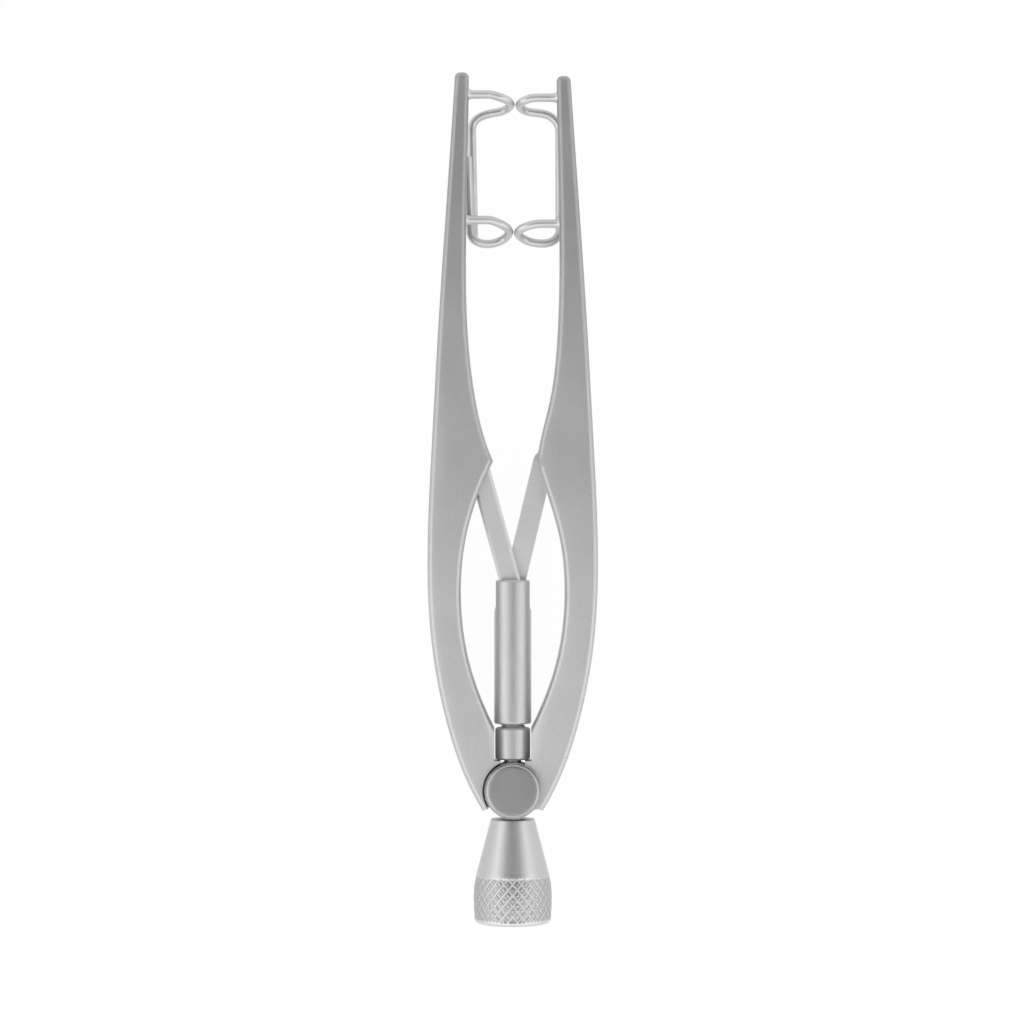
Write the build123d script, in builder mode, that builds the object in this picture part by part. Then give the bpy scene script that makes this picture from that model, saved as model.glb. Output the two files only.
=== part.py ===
from build123d import *
from itertools import pairwise
from math import sqrt
import os

# Eyelid retractor with a screw: two arms turn on a hinge pin, and a thumb
# knob drives a sleeve that spreads them through two short links.
# All lengths are in millimetres. X runs across, Y runs from the knob to the
# tips, Z is up from the surface that the instrument lies on, front upwards.
# Places along the instrument are measured from the centre of the hinge pin.

# Overall reach and movement
TIP_REACH = {"left": 67.45, "right": 67.10}
KNOB_END = 12.55
OPENING = 10.0

# Thumb knob
KNOB_CLEARANCE = 0.10
KNOB_TOP_R = 2.05
CONE_END_R = 3.43
CONE_LENGTH = 5.25
BARREL_R = 3.69
BARREL_WAIST_DOWN = 2.10
BARREL_END_R = 3.56
KNOB_EDGE = 0.45
KNOB_TOP_EDGE = 0.12

# Spindle: thread, collar, plain neck and the stub pressed into the knob
THREAD_R = 1.15
THREAD_END_GAP = 0.75
COLLAR_R = 1.65
COLLAR_CLEARANCE = 0.07
COLLAR_LENGTH = 2.99
NECK_R = 0.80
STUB_LENGTH = 7.00
SPINDLE_EDGE = 0.15

# Threaded sleeve with its fork
SLEEVE_R = 1.75
SLEEVE_LENGTH = 13.50
SLEEVE_GAP = 0.36
SLEEVE_EDGE = 0.20
THREAD_CLEARANCE = 0.05
LINK_PIN_DOWN = 1.00
FORK_DEPTH = 2.95

# Links and rivets
LINK_LENGTH = 12.50
LINK_WIDTH = 1.96
LINK_THICKNESS = 0.60
LINK_GAP = 0.08
LINK_SIDE_CLEARANCE = 0.08
LINK_EDGE_CLEARANCE = 0.15
LINK_BEVEL_DEPTH = 0.24
LINK_BEVEL_WIDTH = 0.28
LINK_PIN_X = {"left": 3.30, "right": 2.90}
RIVET_R = 0.40
RIVET_CLEARANCE = 0.03
OPEN_PIVOT_PLAY = 0.24
LINK_SWING = 18.0

# Arms: half thickness at the joint and at the tips
JOINT_HALF = 1.90
TIP_HALF = 0.70

# Arms: outline as x outwards and y towards the tips. The inner edges meet at
# an apex beside the link's pin, and their heights are measured from it.
TIP_OUTER_X = 5.42
TIP_INNER_X = 4.13
OUTER_EDGE = [(6.21, 55.5), (6.96, 44.2), (7.58, 32.9), (8.0, 21.6), (7.64, 14.1), (6.23, 6.5), (4.3, 0.9)]
UPPER_INNER_EDGE = [(2.62, 2.0), (3.52, 5.8), (4.20, 11.4), (4.41, 18.9), (4.27, 28.3)]
LOWER_INNER_EDGE = [(2.93, -22.5), (4.16, -18.7), (4.88, -13.1), (4.45, -7.4), (3.45, -3.7)]
APEX_X = {"left": 1.85, "right": 2.28}
APEX_ABOVE_PIN = {"left": 0.14, "right": 0.04}
CROTCH_Y = 5.80
HEEL = (2.80, -1.90)
HEEL_NOTCH = (2.30, -1.70)
HEEL_NOTCH_END = (1.85, -1.86)
TIP_ROUND = 0.50
APEX_ROUND = 0.40
INNER_SIDE_X = 5.20
INNER_BEVEL = 0.28
OUTER_ROUND = 0.35

# Half lap joint of the arms
EYE_R = 2.65
RECESS_CLEARANCE = 0.20
LAP_GAP = 0.06
LAP_INNER_X = 1.15
SLOT_SIDE_CLEARANCE = 0.10
SLOT_ABOVE_EYE = 0.13
FAN_CLEARANCE = 0.10

# Hinge pin and the cap on its back end
PIN_R = 1.70
PIN_CLEARANCE = 0.03
NECK_CLEARANCE = 0.05
HEAD_R = 2.58
HEAD_HEIGHT = 0.70
HEAD_EDGE = 0.28
CAP_R = 2.30
CAP_HEIGHT = 0.50
CAP_EDGE = 0.20
SPIGOT_R = 1.10
FACE_CLEARANCE = 0.03

# Lid wires: a front leg leaves the arm in its middle plane and turns back
# beside the middle in a smooth hook, whose deep side runs on behind the arm.
# Places are x outwards, the distance down from the tip of the wire's arm, and z.
WIRE_R = 0.40
SOCKET_DEPTH = 0.60
BRAZE_GAP = 0.02
BRAZE_R = 0.56
BRAZE_LENGTH = 0.60
BRAZE_HOLLOW = 0.04
BRAZE_LAP = 0.05
DEEP_Z = -1.80
RUN_CLEARANCE = 0.07
RUN_NESTING = 0.08
HOOK_GAP = 0.06
HOOK_START_Z = -0.05
HOOK_NOSE_Z = -0.90
HOOK_RETURN_Z = -1.75
UPPER_MEETING_X = 0.22
LOWER_MEETING_X = 0.08
UPPER_LEG_DOWN = {"left": 2.03, "right": 1.99}
LOWER_LEG_DOWN = {"left": 13.85, "right": 13.85}
LEFT_UPPER_FRONT = [(2.39, 2.03), (1.18, 2.30)]
LEFT_UPPER_NOSE_DOWN = 2.80
LEFT_UPPER_BACK = [(0.80, 3.30), (1.86, 3.56), (3.05, 3.90), (3.72, 4.48), (3.88, 5.30)]
LEFT_UPPER_END = (3.68, 15.19)
LEFT_LOWER_FRONT = [(2.39, 13.85), (1.32, 14.14)]
LEFT_LOWER_NOSE_DOWN = 14.82
LEFT_LOWER_BACK = [(0.85, 15.50), (1.78, 15.88), (2.72, 15.96), (3.55, 15.66), (3.98, 14.95)]
LEFT_LOWER_END = (4.26, 7.75)
RIGHT_UPPER_FRONT = [(2.32, 1.99), (1.30, 2.17)]
RIGHT_UPPER_NOSE_DOWN = 2.60
RIGHT_UPPER_BACK = [(1.25, 3.02), (2.33, 3.20), (3.41, 3.46), (4.10, 4.02), (4.42, 4.85)]
RIGHT_LOWER_FRONT = [(2.75, 13.85), (1.51, 14.04)]
RIGHT_LOWER_NOSE_DOWN = 14.62
RIGHT_LOWER_BACK = [(1.25, 15.25), (2.40, 15.54), (3.45, 15.48), (4.15, 15.05), (4.45, 14.20)]

# Sizes and places that follow from the ones above
PIVOT_Y = (KNOB_END - TIP_REACH["left"]) / 2
AXIS_Z = BARREL_R
PIVOT = Vector(0, PIVOT_Y, AXIS_Z)
KNOB_TOP = EYE_R + KNOB_CLEARANCE
RECESS_R = EYE_R + RECESS_CLEARANCE
SLOT_BOTTOM = EYE_R + SLOT_ABOVE_EYE
SLOT_HALF = COLLAR_R + SLOT_SIDE_CLEARANCE
COLLAR_BOTTOM = SLOT_BOTTOM + COLLAR_CLEARANCE
COLLAR_TOP = COLLAR_BOTTOM + COLLAR_LENGTH
SLEEVE_BOTTOM = COLLAR_TOP + SLEEVE_GAP
SLEEVE_TOP = SLEEVE_BOTTOM + SLEEVE_LENGTH
SLEEVE_PIN_Y = SLEEVE_TOP - LINK_PIN_DOWN
FORK_BOTTOM = SLEEVE_TOP - FORK_DEPTH
THREAD_TOP = FORK_BOTTOM - THREAD_END_GAP
LINK_Z = (LINK_GAP + LINK_THICKNESS) / 2
FORK_HALF = LINK_GAP / 2 + LINK_THICKNESS + LINK_SIDE_CLEARANCE
LINK_PIN = {side: (x, SLEEVE_PIN_Y + sqrt(LINK_LENGTH**2 - x**2)) for side, x in LINK_PIN_X.items()}
APEX = {side: (x, LINK_PIN[side][1] + APEX_ABOVE_PIN[side]) for side, x in APEX_X.items()}
SIDE_VIEW_START = (-RECESS_R, JOINT_HALF)
SIDE_VIEW_END = (max(TIP_REACH.values()) + TIP_ROUND, TIP_HALF)
SIGN = {"left": -1, "right": 1}

middle_plane = Plane(PIVOT, x_dir=(1, 0, 0), z_dir=(0, 0, 1))
side_plane = Plane(PIVOT, x_dir=(0, 1, 0), z_dir=(1, 0, 0))
pin_section = Plane(PIVOT, x_dir=(1, 0, 0), z_dir=(0, -1, 0))
spindle_axis = Axis(PIVOT, (0, 1, 0))
pin_axis = Axis(PIVOT, (0, 0, 1))


def place(x, y, z=0.0):
    """Point of the instrument, measured from the centre of the hinge pin."""
    return PIVOT + Vector(x, y, z)


def arm_plane(side, height=0.0):
    """Plane of an arm: the left arm is the right arm's form turned over."""
    return Plane(PIVOT, x_dir=(SIGN[side], 0, 0), z_dir=(0, 0, SIGN[side])).offset(height)


def turning_plane(y):
    """Plane across the spindle at a distance from the hinge pin."""
    return Plane(place(0, y), x_dir=(1, 0, 0), z_dir=(0, 1, 0))


def inner_edge(side, points):
    """Points of an arm's inner edge, moved to the height of its apex."""
    return [(x, APEX[side][1] + above) for x, above in points]


def inner_edge_x(side, y):
    """Distance of an arm's upper inner edge from the middle."""
    points = [*inner_edge(side, UPPER_INNER_EDGE), (TIP_INNER_X, TIP_REACH[side])]
    for (x_low, y_low), (x_high, y_high) in pairwise(points):
        if y <= y_high:
            return x_low + (x_high - x_low) * (y - y_low) / (y_high - y_low)


def arm_half(y):
    """Half thickness of an arm at a distance from the hinge pin."""
    share = (y - SIDE_VIEW_START[0]) / (SIDE_VIEW_END[0] - SIDE_VIEW_START[0])
    return JOINT_HALF + share * (TIP_HALF - JOINT_HALF)


def save(part, name):
    """Name a finished piece and write it."""
    part.label = name
    export_step(part, f"parts/{name}.step")


def is_inner(edge):
    """True for an arm's edges beside the middle of the instrument, above the crotch."""
    middle = edge.center()
    return abs(middle.X) < INNER_SIDE_X and middle.Y > PIVOT_Y + CROTCH_Y


def is_outer(edge):
    """True for an arm's edges on the outside."""
    return abs(edge.center().X) > INNER_SIDE_X and abs(edge.center().Z - AXIS_Z) > TIP_HALF / 2


os.makedirs("parts", exist_ok=True)


# Side view of the forged arms, which taper from the heels to the tips
with BuildSketch(side_plane) as thickness:
    with BuildLine():
        Polyline((SIDE_VIEW_START[0], 0), SIDE_VIEW_START, SIDE_VIEW_END, (SIDE_VIEW_END[0], 0))
        mirror(about=Plane.XZ)
    make_face()


# Arms: wide bars, halved at the eye, with a pocket for the link at the apex
for side, sign in SIGN.items():
    tip = TIP_REACH[side]
    crotch = (SLOT_HALF, CROTCH_Y)
    link_pin = Vector(*LINK_PIN[side])
    with BuildPart() as arm:
        with BuildSketch(arm_plane(side)) as outline:
            with BuildLine():
                Spline([(TIP_OUTER_X, tip), *OUTER_EDGE, HEEL])
                ThreePointArc(HEEL, HEEL_NOTCH, HEEL_NOTCH_END)
                Polyline(
                    HEEL_NOTCH_END,
                    (LAP_INNER_X, 0),
                    (LAP_INNER_X, SLOT_BOTTOM),
                    (SLOT_HALF, SLOT_BOTTOM),
                    crotch,
                )
                Spline([crotch, *inner_edge(side, LOWER_INNER_EDGE), APEX[side]])
                Spline([APEX[side], *inner_edge(side, UPPER_INNER_EDGE), (TIP_INNER_X, tip)])
                Line((TIP_INNER_X, tip), (TIP_OUTER_X, tip))
            make_face()
            fillet(outline.vertices().sort_by_distance((*APEX[side], 0))[0], radius=APEX_ROUND)
            fillet(outline.vertices().group_by(Axis.Y)[-1], radius=TIP_ROUND)
        extrude(amount=JOINT_HALF, both=True)
        extrude(thickness.sketch, amount=2 * BARREL_R + EYE_R, both=True, mode=Mode.INTERSECT)

        # Bevel along the inner edges, rounding along the outer ones
        faces = arm.faces().filter_by(GeomType.PLANE).sort_by(SortBy.AREA)[-2:]
        rims = faces.edges().filter_by(lambda edge: edge.length > LINK_WIDTH)
        chamfer(rims.filter_by(is_inner), length=INNER_BEVEL)
        rims = arm.edges().filter_by(lambda edge: edge.length > TIP_REACH["right"] / 2)
        fillet(rims.filter_by(is_outer), radius=OUTER_ROUND)

        # Eye on one face, and a recess on the other for the other arm's eye
        with BuildSketch(arm_plane(side, LAP_GAP / 2)):
            Circle(RECESS_R)
        extrude(amount=-2 * JOINT_HALF, mode=Mode.SUBTRACT)
        with BuildSketch(arm_plane(side, LAP_GAP / 2)):
            Circle(EYE_R)
        extrude(amount=JOINT_HALF - LAP_GAP / 2)
        with BuildSketch(arm_plane(side, JOINT_HALF)):
            Circle(PIN_R + PIN_CLEARANCE)
        extrude(amount=-2 * JOINT_HALF, mode=Mode.SUBTRACT)

        # Fan shaped groove in which the spindle's neck stays while the arm turns
        with BuildSketch(arm_plane(side)):
            for angle in (0, OPENING):
                Rectangle(2 * (NECK_R + FAN_CLEARANCE), 2 * RECESS_R, rotation=angle)
            make_hull()
        extrude(amount=NECK_R + FAN_CLEARANCE, mode=Mode.SUBTRACT)

        # Pocket for the link's end, open towards the middle, and its rivet hole
        pocket_half = LINK_THICKNESS / 2 + LINK_SIDE_CLEARANCE
        closed_reach = (Vector(0, SLEEVE_PIN_Y) - link_pin) / 2
        open_reach = closed_reach.rotate(Axis.Z, -LINK_SWING)
        with BuildSketch(arm_plane(side, -LINK_Z - pocket_half)):
            with Locations(link_pin, link_pin + closed_reach, link_pin + open_reach):
                Circle(LINK_WIDTH / 2 + LINK_EDGE_CLEARANCE)
            make_hull()
        extrude(amount=2 * pocket_half, mode=Mode.SUBTRACT)
        with BuildSketch(arm_plane(side)):
            with Locations(link_pin):
                Circle(RIVET_R)
        extrude(amount=JOINT_HALF, both=True, mode=Mode.SUBTRACT)

        # Sockets that the wires are brazed into
        for leg_y in (tip - UPPER_LEG_DOWN[side], tip - LOWER_LEG_DOWN[side]):
            mouth = place(sign * inner_edge_x(side, leg_y), leg_y)
            with BuildSketch(Plane(mouth, x_dir=(0, 1, 0), z_dir=(sign, 0, 0))):
                Circle(WIRE_R + BRAZE_GAP)
            extrude(amount=SOCKET_DEPTH, both=True, mode=Mode.SUBTRACT)
    save(arm.part, f"{side}_arm")


# Rivets of the links, filed flush with both faces of the arms
for side in SIGN:
    with BuildPart() as rivet:
        with BuildSketch(arm_plane(side)):
            with Locations(LINK_PIN[side]):
                Circle(RIVET_R)
        extrude(amount=JOINT_HALF, both=True)
        extrude(thickness.sketch, amount=2 * BARREL_R, both=True, mode=Mode.INTERSECT)
    save(rivet.part, f"{side}_link_rivet")


# Links: flat bars with round ends, the left one in front of the right one
for side, sign in SIGN.items():
    pin_x, pin_y = LINK_PIN[side]
    along = (sign * pin_x, pin_y - SLEEVE_PIN_Y, 0)
    link_plane = Plane(place(0, SLEEVE_PIN_Y, -sign * LINK_Z), x_dir=along, z_dir=(0, 0, -sign))
    with BuildPart() as link:
        with BuildSketch(link_plane):
            with Locations((LINK_LENGTH / 2, 0)):
                SlotCenterToCenter(LINK_LENGTH, LINK_WIDTH)
            Circle(RIVET_R + OPEN_PIVOT_PLAY, mode=Mode.SUBTRACT)
            with Locations((LINK_LENGTH, 0)):
                Circle(RIVET_R + RIVET_CLEARANCE, mode=Mode.SUBTRACT)
        extrude(amount=LINK_THICKNESS / 2, both=True)
        long_edges = link.edges().filter_by(GeomType.LINE).filter_by(lambda edge: edge.length > LINK_WIDTH)
        outward = Axis(link_plane.origin, link_plane.z_dir - link_plane.y_dir)
        broad_face = link.faces().sort_by(Axis(link_plane.origin, link_plane.z_dir))[-1]
        chamfer(
            long_edges.sort_by(outward)[-1],
            length=LINK_BEVEL_WIDTH,
            length2=LINK_BEVEL_DEPTH,
            reference=broad_face,
        )
    save(link.part, f"{side}_link")


# Sleeve: threaded bore below, fork for the links above
with BuildPart() as sleeve:
    with BuildSketch(turning_plane(SLEEVE_BOTTOM)):
        Circle(SLEEVE_R)
    extrude(amount=SLEEVE_LENGTH)
    fillet(sleeve.edges().filter_by(GeomType.CIRCLE), radius=SLEEVE_EDGE)
    with BuildSketch(turning_plane(SLEEVE_BOTTOM)):
        Circle(THREAD_R + THREAD_CLEARANCE)
    extrude(amount=SLEEVE_LENGTH - FORK_DEPTH + FORK_HALF, mode=Mode.SUBTRACT)
    with BuildSketch(side_plane):
        with Locations((FORK_BOTTOM + FORK_HALF, 0)):
            Circle(FORK_HALF)
        with Locations((FORK_BOTTOM + FORK_HALF + FORK_DEPTH / 2, 0)):
            Rectangle(FORK_DEPTH, 2 * FORK_HALF)
    extrude(amount=2 * SLEEVE_R, both=True, mode=Mode.SUBTRACT)
    with BuildSketch(middle_plane):
        with Locations((0, SLEEVE_PIN_Y)):
            Circle(RIVET_R)
    extrude(amount=2 * SLEEVE_R, both=True, mode=Mode.SUBTRACT)
save(sleeve.part, "threaded_sleeve")

with BuildPart() as sleeve_rivet:
    with BuildSketch(middle_plane):
        with Locations((0, SLEEVE_PIN_Y)):
            Circle(RIVET_R)
    extrude(amount=SLEEVE_R, both=True)
    with BuildSketch(turning_plane(SLEEVE_BOTTOM)):
        Circle(SLEEVE_R)
    extrude(amount=SLEEVE_LENGTH, mode=Mode.INTERSECT)
save(sleeve_rivet.part, "sleeve_rivet")


# Hinge pin: broad head in front, cross hole for the spindle, spigot for the cap
shank_end = JOINT_HALF + FACE_CLEARANCE
with BuildPart() as hinge_pin:
    with BuildSketch(pin_section):
        with BuildLine():
            Polyline(
                (0, -shank_end - CAP_HEIGHT),
                (SPIGOT_R, -shank_end - CAP_HEIGHT),
                (SPIGOT_R, -shank_end),
                (PIN_R, -shank_end),
                (PIN_R, shank_end),
                (HEAD_R, shank_end),
                (HEAD_R, shank_end + HEAD_HEIGHT),
                (0, shank_end + HEAD_HEIGHT),
                close=True,
            )
        make_face()
    revolve(axis=pin_axis)
    fillet(hinge_pin.edges().filter_by(GeomType.CIRCLE).sort_by(Axis.Z)[-1], radius=HEAD_EDGE)
    with BuildSketch(turning_plane(0)):
        Circle(NECK_R + NECK_CLEARANCE)
    extrude(amount=2 * PIN_R, both=True, mode=Mode.SUBTRACT)
save(hinge_pin.part, "hinge_pin")

with BuildPart() as hinge_cap:
    with BuildSketch(middle_plane.offset(-shank_end)):
        Circle(CAP_R)
        Circle(SPIGOT_R, mode=Mode.SUBTRACT)
    extrude(amount=-CAP_HEIGHT)
    back_edges = hinge_cap.edges().filter_by(GeomType.CIRCLE).group_by(Axis.Z)[0]
    fillet(back_edges.sort_by(SortBy.RADIUS)[-1], radius=CAP_EDGE)
save(hinge_cap.part, "hinge_cap")


# Spindle, turned in one piece
with BuildPart() as spindle:
    with BuildSketch(middle_plane):
        with BuildLine():
            Polyline(
                (0, -KNOB_TOP - STUB_LENGTH),
                (NECK_R, -KNOB_TOP - STUB_LENGTH),
                (NECK_R, COLLAR_BOTTOM),
                (COLLAR_R, COLLAR_BOTTOM),
                (COLLAR_R, COLLAR_TOP),
                (THREAD_R, COLLAR_TOP),
                (THREAD_R, THREAD_TOP),
                (0, THREAD_TOP),
                close=True,
            )
        make_face()
    revolve(axis=spindle_axis)
    turned_edges = spindle.edges().filter_by(GeomType.CIRCLE)
    collar_edges = turned_edges.sort_by(SortBy.RADIUS)[-2:]
    chamfer([*collar_edges, turned_edges.sort_by(Axis.Y)[-1]], length=SPINDLE_EDGE)
save(spindle.part, "spindle")


# Thumb knob: cone and barrel, turned and bored for the spindle's stub
cone_end = -KNOB_TOP - CONE_LENGTH
waist = (BARREL_R, cone_end - BARREL_WAIST_DOWN)
with BuildPart() as knob:
    with BuildSketch(middle_plane):
        with BuildLine():
            Polyline(
                (CONE_END_R, cone_end),
                (KNOB_TOP_R, -KNOB_TOP),
                (0, -KNOB_TOP),
                (0, -KNOB_END),
                (BARREL_END_R, -KNOB_END),
            )
            TangentArc(waist, (CONE_END_R, cone_end), tangent=(0, 1))
            TangentArc(waist, (BARREL_END_R, -KNOB_END), tangent=(0, -1))
        make_face()
    revolve(axis=spindle_axis)
    turned_edges = knob.edges().filter_by(GeomType.CIRCLE).sort_by(Axis.Y)
    fillet(turned_edges[0], radius=KNOB_EDGE)
    fillet(turned_edges[-1], radius=KNOB_TOP_EDGE)
    with BuildSketch(turning_plane(-KNOB_TOP)):
        Circle(NECK_R)
    extrude(amount=-STUB_LENGTH, mode=Mode.SUBTRACT)
save(knob.part, "thumb_knob")


# Lid wires: round wire bent into smooth hooks, brazed into the arms
def make_wire(name, start, hooks, end, brazed_ends):
    with BuildPart() as wire:
        with BuildLine() as route:
            reached = start
            for hook, ahead in zip(hooks, [*(following[0] for following in hooks[1:]), end]):
                Line(reached, hook[0])
                Spline(hook, tangents=[hook[0] - reached, ahead - hook[-1]], tangent_scalars=[1, 1])
                reached = hook[-1]
            Line(reached, end)
        with BuildSketch(Plane(route.line @ 0, z_dir=route.line % 0)):
            Circle(WIRE_R)
        sweep(path=route.line)
        for socket, leg in brazed_ends:
            inwards = (leg - socket).normalized()
            base = socket + inwards * (SOCKET_DEPTH - BRAZE_LAP)
            with BuildSketch(Plane(base, x_dir=inwards, z_dir=(0, 0, 1))):
                with BuildLine():
                    Polyline((BRAZE_LENGTH, WIRE_R), (BRAZE_LENGTH, 0), (0, 0), (0, BRAZE_R))
                    middle_r = (BRAZE_R + WIRE_R) / 2 - BRAZE_HOLLOW
                    ThreePointArc((0, BRAZE_R), (BRAZE_LENGTH / 2, middle_r), (BRAZE_LENGTH, WIRE_R))
                make_face()
            revolve(axis=Axis(base, inwards))
    save(wire.part, name)


def socket_end(side, leg_down):
    """Blind end of a wire inside its arm."""
    leg_y = TIP_REACH[side] - leg_down
    return place(SIGN[side] * (inner_edge_x(side, leg_y) + SOCKET_DEPTH), leg_y)


def below_tip(side, x, down, z=0.0):
    """Point of a wire, measured down from the tip of its arm."""
    return place(SIGN[side] * x, TIP_REACH[side] - down, z)


def hook_points(side, meeting_x, front, nose_down, back, run_z):
    """Points of a hook, from the front leg round the nose to the run behind the arm."""
    nose_x = SIGN[side] * meeting_x + HOOK_GAP / 2 + WIRE_R
    front_z = [0, HOOK_START_Z]
    back_z = [HOOK_RETURN_Z, DEEP_Z, (DEEP_Z + run_z) / 2, run_z, run_z]
    return [
        *(below_tip(side, *point, z) for point, z in zip(front, front_z)),
        below_tip(side, nose_x, nose_down, HOOK_NOSE_Z),
        *(below_tip(side, *point, z) for point, z in zip(back, back_z)),
    ]


lower_run_z = -arm_half(TIP_REACH["left"] - LEFT_LOWER_BACK[-1][1]) - RUN_CLEARANCE - WIRE_R
upper_run_z = lower_run_z - 2 * WIRE_R + RUN_NESTING
socket = socket_end("left", UPPER_LEG_DOWN["left"])
hook = hook_points(
    "left", UPPER_MEETING_X, LEFT_UPPER_FRONT, LEFT_UPPER_NOSE_DOWN, LEFT_UPPER_BACK, upper_run_z
)
end = below_tip("left", *LEFT_UPPER_END, upper_run_z)
make_wire("left_upper_lid_wire", socket, [hook], end, [(socket, hook[0])])

socket = socket_end("left", LOWER_LEG_DOWN["left"])
hook = hook_points(
    "left", LOWER_MEETING_X, LEFT_LOWER_FRONT, LEFT_LOWER_NOSE_DOWN, LEFT_LOWER_BACK, lower_run_z
)
end = below_tip("left", *LEFT_LOWER_END, lower_run_z)
make_wire("left_lower_lid_wire", socket, [hook], end, [(socket, hook[0])])

sockets = [socket_end("right", leg_down) for leg_down in (UPPER_LEG_DOWN["right"], LOWER_LEG_DOWN["right"])]
upper_hook = hook_points(
    "right", UPPER_MEETING_X, RIGHT_UPPER_FRONT, RIGHT_UPPER_NOSE_DOWN, RIGHT_UPPER_BACK, DEEP_Z
)
lower_hook = hook_points(
    "right", LOWER_MEETING_X, RIGHT_LOWER_FRONT, RIGHT_LOWER_NOSE_DOWN, RIGHT_LOWER_BACK, DEEP_Z
)
brazed_ends = [(sockets[0], upper_hook[0]), (sockets[1], lower_hook[0])]
make_wire("right_lid_wire", sockets[0], [upper_hook, lower_hook[::-1]], sockets[1], brazed_ends)
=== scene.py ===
import math

import bmesh
import bpy
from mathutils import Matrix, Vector, noise as solid_noise
from mathutils.bvhtree import BVHTree


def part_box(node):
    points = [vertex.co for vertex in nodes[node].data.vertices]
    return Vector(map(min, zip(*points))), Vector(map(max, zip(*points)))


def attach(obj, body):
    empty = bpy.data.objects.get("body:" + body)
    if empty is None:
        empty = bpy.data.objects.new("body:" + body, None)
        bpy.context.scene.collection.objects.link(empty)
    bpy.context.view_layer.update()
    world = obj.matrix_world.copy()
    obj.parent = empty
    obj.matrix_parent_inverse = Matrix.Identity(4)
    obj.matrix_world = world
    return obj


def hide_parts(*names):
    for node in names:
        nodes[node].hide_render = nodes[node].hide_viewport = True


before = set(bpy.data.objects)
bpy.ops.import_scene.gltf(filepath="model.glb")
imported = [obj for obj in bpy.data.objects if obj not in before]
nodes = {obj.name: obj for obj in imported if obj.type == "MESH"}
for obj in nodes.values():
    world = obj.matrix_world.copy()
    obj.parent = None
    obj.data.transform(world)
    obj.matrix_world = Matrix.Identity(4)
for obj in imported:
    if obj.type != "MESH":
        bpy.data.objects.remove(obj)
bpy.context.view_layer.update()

# Arms
# Two flat bars of forged stainless steel, ground and then glass blasted to an
# even satin. They turn on the hinge pin, and their tips carry the lid wires.

# Distances from the pin along an arm, and of its edges from the middle, in millimetres.
ARM_REACH = 68.0
WIDEST = 10.0
OUTER_EDGE = [
    (0, 4.0),
    (6.5, 6.2),
    (14.1, 7.6),
    (21.6, 8.0),
    (32.9, 7.6),
    (44.2, 7.0),
    (55.5, 6.2),
    (68, 5.4),
]
INNER_EDGE = [
    (0, 1.2),
    (8.4, 2.9),
    (12.2, 4.2),
    (17.8, 4.9),
    (23.5, 4.4),
    (27.2, 3.4),
    (30.9, 1.9),
    (36.7, 3.5),
    (42.3, 4.2),
    (68, 4.1),
]

# How far a face leans at its edges, and how fast the lean grows towards them.
LEFT_CROWN = 0.28
RIGHT_CROWN = 0.25
LEFT_GROWTH = 2.0
RIGHT_GROWTH = 7.0

# Painted shade: the arms' colour is made a little darker towards the tips, between these distances in
# millimetres.
PAINTED_SHADE_FROM = 15.0
PAINTED_SHADE_TO = 57.0
TIP_PAINTED_SHADE = 0.70
MILLIMETRES = 1000.0


def add_node(tree, kind, inputs=None, **settings):
    """Add a shader node, set it up and link or fill its inputs."""
    made = tree.nodes.new(kind)
    for name, value in settings.items():
        setattr(made, name, value)
    for name, value in (inputs or {}).items():
        if isinstance(value, bpy.types.NodeSocket):
            tree.links.new(value, made.inputs[name])
        else:
            made.inputs[name].default_value = value
    return made


def worked_out(tree, operation, first, second=0.0, third=0.0):
    """Result of a sum with one to three values or sockets."""
    sum_node = add_node(tree, "ShaderNodeMath", {0: first, 1: second, 2: third}, operation=operation)
    return sum_node.outputs["Value"]


def vector_result(tree, operation, first, second=(0.0, 0.0, 0.0)):
    """Result of a sum with one or two vectors."""
    sum_node = add_node(tree, "ShaderNodeVectorMath", {0: first, 1: second}, operation=operation)
    return sum_node.outputs["Vector"]


def split(tree, vector):
    """The three parts of a vector, by their names X, Y and Z."""
    return add_node(tree, "ShaderNodeSeparateXYZ", {"Vector": vector}).outputs


def mapped(tree, value, start, end, low=0.0, high=1.0, kind="LINEAR"):
    """Value that runs from low to high while another runs from start to end."""
    return add_node(
        tree,
        "ShaderNodeMapRange",
        {"Value": value, "From Min": start, "From Max": end, "To Min": low, "To Max": high},
        interpolation_type=kind,
    ).outputs["Result"]


def spread(tree, factor, low, high):
    """Value between low and high that follows a noise."""
    return mapped(tree, factor, 0.25, 0.75, low, high)


def grey(level, warmth=0.0):
    """Grey of a steel, a little warmer or cooler."""
    return (level * (1 + warmth), level, level * (1 - warmth), 1)


def tinted(tree, factor, dark, light):
    """Colour that runs from dark to light with a factor."""
    ramp = add_node(tree, "ShaderNodeValToRGB", {"Fac": factor})
    ramp.color_ramp.elements[0].color = grey(dark, 0.004)
    ramp.color_ramp.elements[1].color = grey(light, 0.002)
    ramp.color_ramp.elements[0].position = 0.3
    ramp.color_ramp.elements[1].position = 0.7
    return ramp.outputs["Color"]


def noise(tree, place, scale, detail=2, stretch=(1, 1, 1), turn=0.0):
    """Noise on a piece, its scale in steps per metre, drawn out along an axis by a small stretch."""
    mapping = add_node(tree, "ShaderNodeMapping", {"Vector": place, "Scale": stretch})
    mapping.inputs["Rotation"].default_value = (0, 0, turn)
    return add_node(
        tree,
        "ShaderNodeTexNoise",
        {"Vector": mapping.outputs["Vector"], "Scale": scale, "Detail": detail},
    ).outputs["Fac"]


def bumped(tree, height, depth, normal=None):
    """Normal of a surface with a relief of that depth in metres."""
    made = add_node(tree, "ShaderNodeBump", {"Height": height, "Distance": depth, "Strength": 1.0})
    if normal is not None:
        tree.links.new(normal, made.inputs["Normal"])
    return made.outputs["Normal"]


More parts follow.
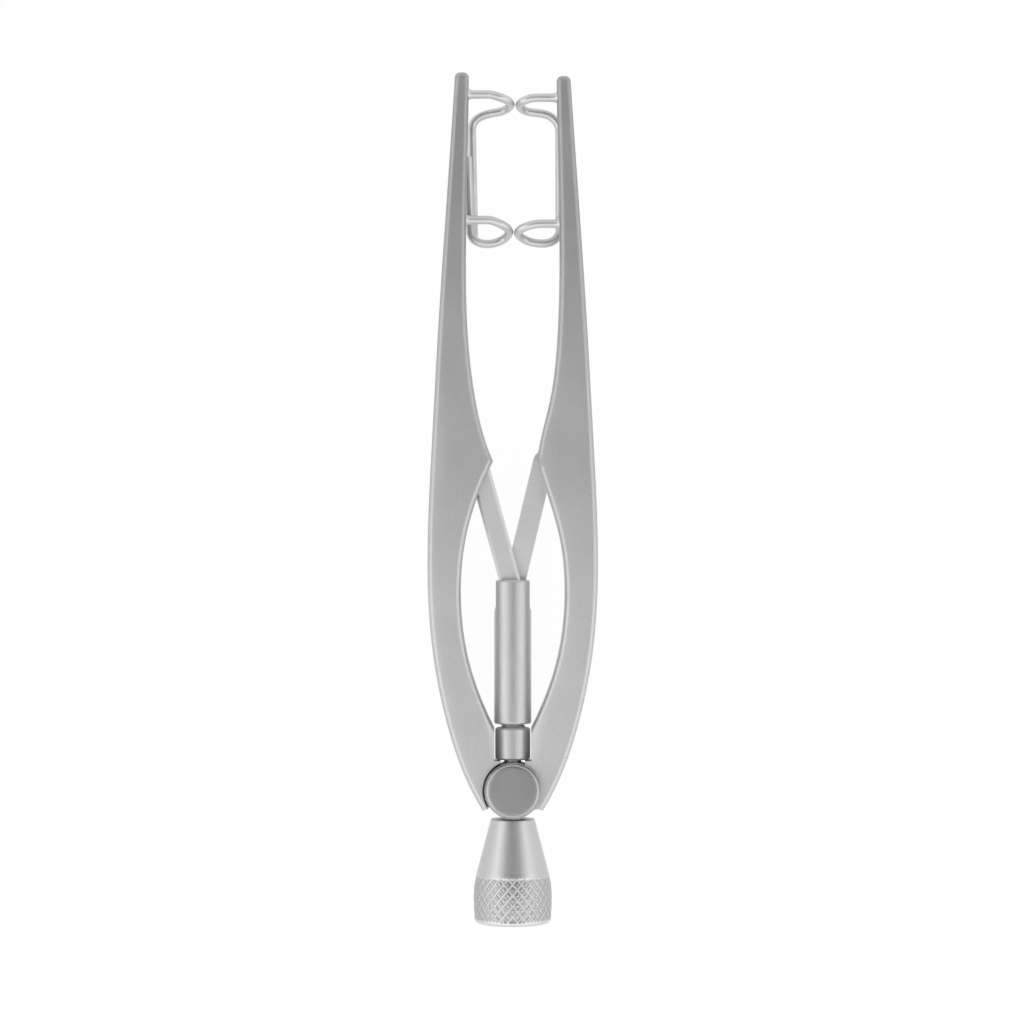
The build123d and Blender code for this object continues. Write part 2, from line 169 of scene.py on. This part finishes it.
def leaning(tree, x, y):
    """Normal of a surface that leans over by the given amounts along x and y."""
    lean = add_node(tree, "ShaderNodeCombineXYZ", {"X": x, "Y": y}).outputs["Vector"]
    flat = add_node(tree, "ShaderNodeNewGeometry").outputs["Normal"]
    return vector_result(tree, "NORMALIZE", vector_result(tree, "ADD", flat, lean))


def empty_tree(owner):
    """Node tree of a material or a world, with nothing in it yet."""
    owner.use_nodes = True
    owner.node_tree.nodes.clear()
    return owner.node_tree


def start_steel(name):
    """Empty material of bare metal, with its node tree and the place on the piece."""
    material = bpy.data.materials.new(name)
    tree = empty_tree(material)
    place = add_node(tree, "ShaderNodeTexCoord").outputs["Object"]
    return material, tree, place


def finish_steel(tree, colour, roughness, normal, sheen=0.0):
    """Put the metal shader and the output at the end of a material."""
    shader = add_node(
        tree,
        "ShaderNodeBsdfPrincipled",
        {"Base Color": colour, "Roughness": roughness, "Normal": normal},
    )
    shader.inputs["Metallic"].default_value = 1.0
    shader.inputs["Sheen Weight"].default_value = sheen
    add_node(tree, "ShaderNodeOutputMaterial", {"Surface": shader.outputs["BSDF"]})


def dress(name, material):
    """Give a piece of the frame its finish."""
    piece = nodes[name]
    piece.data.materials.clear()
    piece.data.materials.append(material)


def edge_line(tree, along, points):
    """Distance of an arm's edge from the middle, as a curve over the distance from the pin."""
    share = worked_out(tree, "DIVIDE", along, ARM_REACH)
    curve = add_node(tree, "ShaderNodeFloatCurve", {"Value": share})
    line = curve.mapping.curves[0]
    for place_on_arm, distance in points[1:-1]:
        line.points.new(place_on_arm / ARM_REACH, distance / WIDEST)
    for point, (place_on_arm, distance) in zip(line.points, points):
        point.location = (place_on_arm / ARM_REACH, distance / WIDEST)
    curve.mapping.update()
    return worked_out(tree, "MULTIPLY", curve.outputs["Value"], WIDEST)


def crown(tree, share, growth, most):
    """Lean that grows from 0 in the middle of an arm to the most at one edge."""
    kept = worked_out(tree, "MINIMUM", worked_out(tree, "MAXIMUM", share, 0.0), 1.0)
    return worked_out(tree, "MULTIPLY", worked_out(tree, "POWER", kept, growth), most)


def arm_lean(tree, x, along):
    """Lean along x of an arm's face, which is slightly domed towards its edges."""
    outer = edge_line(tree, along, OUTER_EDGE)
    inner = edge_line(tree, along, INNER_EDGE)
    middle = worked_out(tree, "MULTIPLY", worked_out(tree, "ADD", outer, inner), 0.5)
    half = worked_out(tree, "MULTIPLY", worked_out(tree, "SUBTRACT", outer, inner), 0.5)
    across = worked_out(tree, "MULTIPLY", worked_out(tree, "ABSOLUTE", x), MILLIMETRES)
    share = worked_out(tree, "DIVIDE", worked_out(tree, "SUBTRACT", across, middle), half)
    to_right = worked_out(tree, "MULTIPLY", share, worked_out(tree, "SIGN", x))
    to_left = worked_out(tree, "MULTIPLY", to_right, -1.0)
    left_lean = crown(tree, to_left, LEFT_GROWTH, -LEFT_CROWN)
    right_lean = crown(tree, to_right, RIGHT_GROWTH, RIGHT_CROWN)
    return worked_out(tree, "ADD", left_lean, right_lean)


pin_low, pin_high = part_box("hinge_pin")
pin_y = (pin_low.y + pin_high.y) / 2
blasted_steel, tree, place = start_steel("blasted_steel")
patches = noise(tree, place, scale=160, detail=3)
grain = noise(tree, place, scale=5200)
speckle = noise(tree, place, scale=11000, detail=1)
rubbed = noise(tree, place, scale=3600, stretch=(0.12, 1, 1))
tone = add_node(tree, "ShaderNodeMix", {"Factor": 0.65, "A": patches, "B": grain}).outputs["Result"]
on_arm = split(tree, place)
along = worked_out(tree, "MULTIPLY_ADD", on_arm["Y"], MILLIMETRES, -MILLIMETRES * pin_y)
# Painted shade: the colour darkens from the hinge towards the tips.
tip_painted_shade = mapped(tree, along, PAINTED_SHADE_FROM, PAINTED_SHADE_TO, 1.0, TIP_PAINTED_SHADE)
satin = tinted(tree, tone, dark=0.55, light=0.62)
painted_shade_colour = add_node(tree, "ShaderNodeVectorMath", {0: satin, "Scale": tip_painted_shade}, operation="SCALE")
normal = leaning(tree, arm_lean(tree, on_arm["X"], along), 0.0)
normal = bumped(tree, rubbed, 2e-6, normal)
normal = bumped(tree, grain, 2e-6, normal)
normal = bumped(tree, speckle, 1.5e-6, normal)
roughness = spread(tree, patches, low=0.50, high=0.55)
finish_steel(tree, painted_shade_colour.outputs["Vector"], roughness, normal)

for side in ("left", "right"):
    dress(f"{side}_arm", blasted_steel)
    dress(f"{side}_link_rivet", blasted_steel)

# Links
# Two short flat bars, stamped from strip and ground across. Each is riveted
# in the slot of its arm, and both meet in the fork of the sleeve.
ground_steel, tree, place = start_steel("ground_steel")
patches = noise(tree, place, scale=220)
scratches = noise(tree, place, scale=9000, stretch=(0.08, 1, 1))
colour = tinted(tree, scratches, dark=0.72, light=0.77)
roughness = spread(tree, patches, low=0.42, high=0.48)
finish_steel(tree, colour, roughness, bumped(tree, scratches, 2.5e-6))

for side in ("left", "right"):
    dress(f"{side}_link", ground_steel)

# Sleeve
# Turned from bar, with the fork milled in its upper end and a rivet filed
# flush. The spindle's thread draws it along and so spreads the links.


def turning_marks(tree, place):
    """Fine rings that a lathe tool leaves round the long axis, and the relief of such a surface."""
    rings = noise(tree, place, scale=9000, stretch=(1, 0.04, 1))
    grain = noise(tree, place, scale=6000)
    return rings, bumped(tree, grain, 2.5e-6, bumped(tree, rings, 2e-6))


turned_steel, tree, place = start_steel("turned_steel")
patches = noise(tree, place, scale=300)
marks, normal = turning_marks(tree, place)
colour = tinted(tree, marks, dark=0.47, light=0.53)
roughness = spread(tree, patches, low=0.42, high=0.46)
finish_steel(tree, colour, roughness, normal, sheen=1.0)

dress("threaded_sleeve", turned_steel)
dress("sleeve_rivet", turned_steel)

# Hinge pin and cap
# A turned pin with a broad flat head that was rubbed on fine abrasive. The
# cap is pressed on its back end and holds the two arms together.
RIM_START = 0.0019
RIM_END = 0.0026
RIM_LEAN = 0.28
RIM_LEAN_ALONG = 0.25
rubbed_steel, tree, place = start_steel("rubbed_steel")
patches = noise(tree, place, scale=260)
scratches = noise(tree, place, scale=13000, detail=3, stretch=(0.10, 1, 1), turn=math.radians(-9))
colour = tinted(tree, scratches, dark=0.38, light=0.44)
roughness = spread(tree, patches, low=0.28, high=0.33)
from_pin = vector_result(tree, "SUBTRACT", place, (0, pin_y, 0))
on_head = vector_result(tree, "MULTIPLY", from_pin, (1, 1, 0))
distance = add_node(tree, "ShaderNodeVectorMath", {0: on_head}, operation="LENGTH").outputs["Value"]
rim = mapped(tree, distance, RIM_START, RIM_END, high=RIM_LEAN, kind="SMOOTHSTEP")
outwards = split(tree, vector_result(tree, "NORMALIZE", on_head))
rim_x = worked_out(tree, "MULTIPLY", outwards["X"], rim)
rim_y = worked_out(tree, "MULTIPLY", worked_out(tree, "MULTIPLY", outwards["Y"], rim), RIM_LEAN_ALONG)
finish_steel(tree, colour, roughness, bumped(tree, scratches, 2.5e-6, leaning(tree, rim_x, rim_y)))

dress("hinge_pin", rubbed_steel)
dress("hinge_cap", rubbed_steel)

# Lid wires
# Round drawn wire of 0.8 mm, bent into hooks that hold the lids, and brazed
# into the arms with a small fillet round each end.
drawn_steel, tree, place = start_steel("drawn_steel")
patches = noise(tree, place, scale=500)
grain = noise(tree, place, scale=7000)
colour = tinted(tree, patches, dark=0.60, light=0.65)
roughness = spread(tree, patches, low=0.42, high=0.48)
finish_steel(tree, colour, roughness, bumped(tree, grain, 2e-6))

for name in ("left_upper_lid_wire", "left_lower_lid_wire", "right_lid_wire"):
    dress(name, drawn_steel)

# Spindle
# One turned piece: a collar that sits between the arms, a plain neck that
# passes the hinge pin, and a fine thread that runs into the sleeve.
THREAD_PITCH = 0.0004
THREAD_DEPTH = 0.00022
THREAD_FLANK = 0.36
RINGS_A_PITCH = 8
COLLAR_HEIGHTS = (0.00285, 0.00584)
TURNED_EDGE = 0.00015
SPINDLE_STEPS = 72
SPINDLE_SHARP = math.radians(30)
HAIR = 1e-7


def turned_shape(name):
    """Axis height of a turned solid, and the function that gives its radius along the axis."""
    solid = bmesh.new()
    solid.from_mesh(nodes[name].data)
    solid.transform(nodes[name].matrix_world)
    surface = BVHTree.FromBMesh(solid)
    solid.free()
    low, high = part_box(name)
    axis_z = (low.z + high.z) / 2
    start_x = 2 * high.x

    def radius(y):
        return surface.ray_cast(Vector((start_x, y, axis_z)), Vector((-1, 0, 0)))[0].x

    return axis_z, radius


def even_steps(start, end, count):
    """Places from start to end in even steps, the end left out."""
    return [start + (end - start) * step / count for step in range(count)]


def spin_profile(profile, axis_z, steps):
    """Turn a profile of radius and y round a piece's long axis."""
    bm = bmesh.new()
    verts = [bm.verts.new((radius, y, axis_z)) for radius, y in profile]
    edges = [bm.edges.new(pair) for pair in zip(verts, verts[1:])]
    bmesh.ops.spin(
        bm,
        geom=verts + edges,
        cent=(0, 0, axis_z),
        axis=(0, 1, 0),
        angle=2 * math.pi,
        steps=steps,
        use_merge=True,
    )
    bmesh.ops.remove_doubles(bm, verts=bm.verts, dist=HAIR)
    return bm


def sink(bm, axis_z, depth):
    """Move the vertices inwards by a depth that follows y and the angle, and note it on each."""
    sunk = bm.verts.layers.float.new("sunk")
    for vert in bm.verts:
        across = Vector((vert.co.x, 0, vert.co.z - axis_z))
        vert[sunk] = depth(across.length, vert.co.y, math.atan2(across.x, across.z))
        vert.co -= across.normalized() * vert[sunk]


def add_object(name, data):
    """New object of the scene with that mesh, lamp or camera."""
    made = bpy.data.objects.new(name, data)
    bpy.context.scene.collection.objects.link(made)
    return made


def put_in_place(name, bm, sharp_angle, material):
    """Close up a new piece of the screw, and let it take the place of its plain solid."""
    bmesh.ops.recalc_face_normals(bm, faces=bm.faces)
    for face in bm.faces:
        face.smooth = True
    for edge in bm.edges:
        edge.smooth = edge.is_manifold and edge.calc_face_angle(0) < sharp_angle
    mesh = bpy.data.meshes.new(f"{name}_shape")
    bm.to_mesh(mesh)
    bm.free()
    mesh.materials.append(material)
    piece = add_object(f"{name}_shape", mesh)
    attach(piece, "screw")
    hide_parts(name)


def thread_sink(radius, y, angle):
    """Depth of the thread's groove at a place on the spindle."""
    if not thread_start < y < thread_end or radius < HAIR:
        return 0
    phase = (y / THREAD_PITCH - angle / (2 * math.pi)) % 1
    return THREAD_DEPTH * max(0, 1 - abs(phase - 0.5) / THREAD_FLANK)


low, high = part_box("spindle")
collar_low, collar_high = (pin_y + height for height in COLLAR_HEIGHTS)
thread_start = collar_high + TURNED_EDGE
thread_end = high.y - TURNED_EDGE
thread_rings = round((thread_end - thread_start) / THREAD_PITCH * RINGS_A_PITCH)
axis_z, radius_at = turned_shape("spindle")
stations = [
    low.y + HAIR,
    collar_low - HAIR,
    collar_low + HAIR,
    collar_low + TURNED_EDGE,
    collar_high - TURNED_EDGE,
    collar_high - HAIR,
    collar_high + HAIR,
]
stations += even_steps(thread_start, thread_end, thread_rings)
stations += [thread_end, high.y - HAIR]
profile = [(0, low.y + HAIR)] + [(radius_at(y), y) for y in stations] + [(0, high.y - HAIR)]
bm = spin_profile(profile, axis_z, SPINDLE_STEPS)
sink(bm, axis_z, thread_sink)
put_in_place("spindle", bm, SPINDLE_SHARP, turned_steel)

# Thumb knob
# A cone and a barrel, turned in one piece and pressed on the spindle. A rolled
# knurl crosses the barrel, its crests level with the turned surface.
CONE_LENGTH = 0.00525
TOP_EDGE = 0.00013
ROUNDED_EDGE = 0.00045
STUB_LENGTH = 0.007
STUB_RADIUS = 0.0008
KNURLS_AROUND = 27
KNURL_PITCH = 0.00100
KNURL_DEPTH = 0.00009
KNURL_CREST = 0.15
WEAK_CREST = 0.85
KNURL_LOWER_EDGE = 0.00031
KNURL_RUN_OUT = 0.00022
TORN_DEPTH = 0.000008
TORN_AROUND = 30
TORN_ALONG = 8000
TOP_RINGS = 6
CONE_RINGS = 12
BARREL_RINGS = 86
EDGE_RINGS = 15
KNOB_STEPS = 540
KNOB_SHARP = math.radians(70)

low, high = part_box("thumb_knob")
axis_z, radius_at = turned_shape("thumb_knob")
knurl_top = high.y - CONE_LENGTH
knurl_low = low.y + KNURL_LOWER_EDGE


def knurl_sink(radius, y, angle):
    """Depth of the knurl at a place on the knob, where two sets of crests cross."""
    run_out = min(knurl_top - y, y - knurl_low) / KNURL_RUN_OUT
    if run_out < 0 or radius < 2 * STUB_RADIUS:
        return 0
    around = angle / (2 * math.pi) * KNURLS_AROUND
    along = y / KNURL_PITCH
    strong, weak = (abs(phase - round(phase)) for phase in (around - along, around + along))
    crest = max(1 - strong / KNURL_CREST, WEAK_CREST * (1 - weak / KNURL_CREST))
    rise = max(crest, min(strong, weak))
    torn = TORN_DEPTH * solid_noise.noise(Vector((TORN_AROUND * angle, TORN_ALONG * y, 0)))
    return max(0, KNURL_DEPTH * (1 - rise) + torn) * min(1, run_out)


stations = [high.y - HAIR]
stations += even_steps(high.y - TOP_EDGE / TOP_RINGS, high.y - TOP_EDGE, TOP_RINGS - 1)
stations += even_steps(high.y - TOP_EDGE, knurl_top, CONE_RINGS)
stations += even_steps(knurl_top, low.y + ROUNDED_EDGE, BARREL_RINGS)
for turn in even_steps(0, math.pi / 2, EDGE_RINGS):
    stations.append(low.y + ROUNDED_EDGE * (1 - math.sin(turn)))
stations.append(low.y + HAIR)
bore = [(0, high.y - STUB_LENGTH), (STUB_RADIUS, high.y - STUB_LENGTH), (STUB_RADIUS, high.y - HAIR)]
profile = bore + [(radius_at(y), y) for y in stations] + [(0, low.y + HAIR)]
bm = spin_profile(profile, axis_z, KNOB_STEPS)
sink(bm, axis_z, knurl_sink)

# The knurl's crests are painted lighter as a painted highlight, and its pits darker as painted shade,
# by how deep each place was sunk. The cone is between the two.
knurled_steel, tree, place = start_steel("knurled_steel")
sunk = add_node(tree, "ShaderNodeAttribute", attribute_name="sunk").outputs["Fac"]
# Painted highlight on the crests and painted shade in the pits, from the sink depth.
crest = mapped(tree, sunk, 0.8 * KNURL_DEPTH, 0.05 * KNURL_DEPTH, 0.25, 0.75)
knurled = mapped(tree, split(tree, place)["Y"], knurl_top, knurl_top - KNURL_RUN_OUT)
relief = worked_out(tree, "MULTIPLY_ADD", worked_out(tree, "SUBTRACT", crest, 0.5), knurled, 0.5)
marks, normal = turning_marks(tree, place)
colour = tinted(tree, relief, dark=0.43, light=0.71)
roughness = spread(tree, marks, low=0.38, high=0.43)
finish_steel(tree, colour, roughness, normal, sheen=0.10)
put_in_place("thumb_knob", bm, KNOB_SHARP, knurled_steel)

# Table
# A pale matt table top on which the instrument lies, white to the camera and
# in reflections, with the instrument's own soft shadow on it.
TABLE_WIDTH = 4.0
WHITE_SHARE = 0.97


def lay_sheet(name, centre, width, length, material):
    """Flat sheet of the stage, level with the table."""
    bm = bmesh.new()
    bmesh.ops.create_grid(bm, x_segments=1, y_segments=1, size=0.5)
    bmesh.ops.scale(bm, vec=(width, length, 1), verts=bm.verts)
    bmesh.ops.translate(bm, vec=centre, verts=bm.verts)
    mesh = bpy.data.meshes.new(name)
    bm.to_mesh(mesh)
    bm.free()
    mesh.materials.append(material)
    add_object(name, mesh)


pale_top = bpy.data.materials.new("pale_top")
tree = empty_tree(pale_top)
path = add_node(tree, "ShaderNodeLightPath").outputs
seen = worked_out(tree, "MAXIMUM", path["Is Camera Ray"], path["Is Glossy Ray"])
seen = worked_out(tree, "MAXIMUM", seen, path["Is Transmission Ray"])
white_share = worked_out(tree, "MULTIPLY", seen, WHITE_SHARE)
matt = add_node(tree, "ShaderNodeBsdfDiffuse", {"Color": grey(0.9)}).outputs["BSDF"]
white = add_node(tree, "ShaderNodeEmission", {"Color": grey(1.0), "Strength": 1.0}).outputs["Emission"]
mixed = add_node(tree, "ShaderNodeMixShader", {"Fac": white_share, 1: matt, 2: white})
add_node(tree, "ShaderNodeOutputMaterial", {"Surface": mixed.outputs["Shader"]})
lay_sheet("table_top", (0, 0, 0), TABLE_WIDTH, TABLE_WIDTH, pale_top)

# Room
# White surroundings on all sides, as in a light tent, so that the edges of
# the steel stay bright.
room = bpy.data.worlds.new("light_tent")
tree = empty_tree(room)
backdrop = add_node(tree, "ShaderNodeBackground", {"Color": grey(1.0), "Strength": 1.0})
add_node(tree, "ShaderNodeOutputWorld", {"Surface": backdrop.outputs["Background"]})
bpy.context.scene.world = room

# Studio cards
# Large cards over the table, which the steel reflects: a white ceiling, a
# narrow grey one over the middle, a black one towards the tips and a bright
# one past the knob.


def hang_card(name, centre, width, length, level):
    """Hang a flat card of an even grey over the table."""
    material = bpy.data.materials.new(name)
    tree = empty_tree(material)
    glow = add_node(tree, "ShaderNodeEmission", {"Color": grey(level), "Strength": 1.0})
    add_node(tree, "ShaderNodeOutputMaterial", {"Surface": glow.outputs["Emission"]})
    lay_sheet(name, centre, width, length, material)


hang_card("ceiling_card", (0, 0, 0.90), width=2.4, length=2.4, level=1.0)
hang_card("middle_card", (0.04, 0.05, 0.80), width=0.34, length=0.70, level=0.36)
hang_card("tip_card", (0, 0.19, 0.72), width=1.6, length=0.38, level=0.0)
hang_card("knob_card", (0, -0.42, 0.75), width=1.6, length=0.50, level=1.5)

# Lamps
# Two soft boxes, one at each side of the instrument and facing it, the left
# one stronger.


def place_lamp(name, spot, size, power):
    """Set a square soft box that faces the instrument."""
    lamp = bpy.data.lights.new(name, "AREA")
    lamp.shape = "SQUARE"
    lamp.size = size
    lamp.energy = power
    box = add_object(name, lamp)
    box.location = spot
    box.rotation_mode = "QUATERNION"
    box.rotation_quaternion = Vector(spot).to_track_quat("Z", "Y")


place_lamp("left_soft_box", (-0.60, 0.0, 0.55), size=0.80, power=1.5)
place_lamp("right_soft_box", (0.60, 0.0, 0.55), size=0.70, power=1.05)

# Camera
# A long lens straight above the instrument, a hair beside its middle, at a
# height over the knob's axis.
CAMERA_X = -0.00007
CAMERA_Y = -0.00134
CAMERA_HEIGHT = 0.290
SENSOR_WIDTH = 36.0
LENS = 108.3
lens = bpy.data.cameras.new("long_lens")
lens.sensor_width = SENSOR_WIDTH
lens.lens = LENS
lens.clip_start = 0.01
camera = add_object("camera", lens)
knob_low, knob_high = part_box("thumb_knob")
camera.location = (CAMERA_X, CAMERA_Y, (knob_low.z + knob_high.z) / 2 + CAMERA_HEIGHT)
bpy.context.scene.camera = camera
bpy.context.scene.view_settings.view_transform = "Standard"
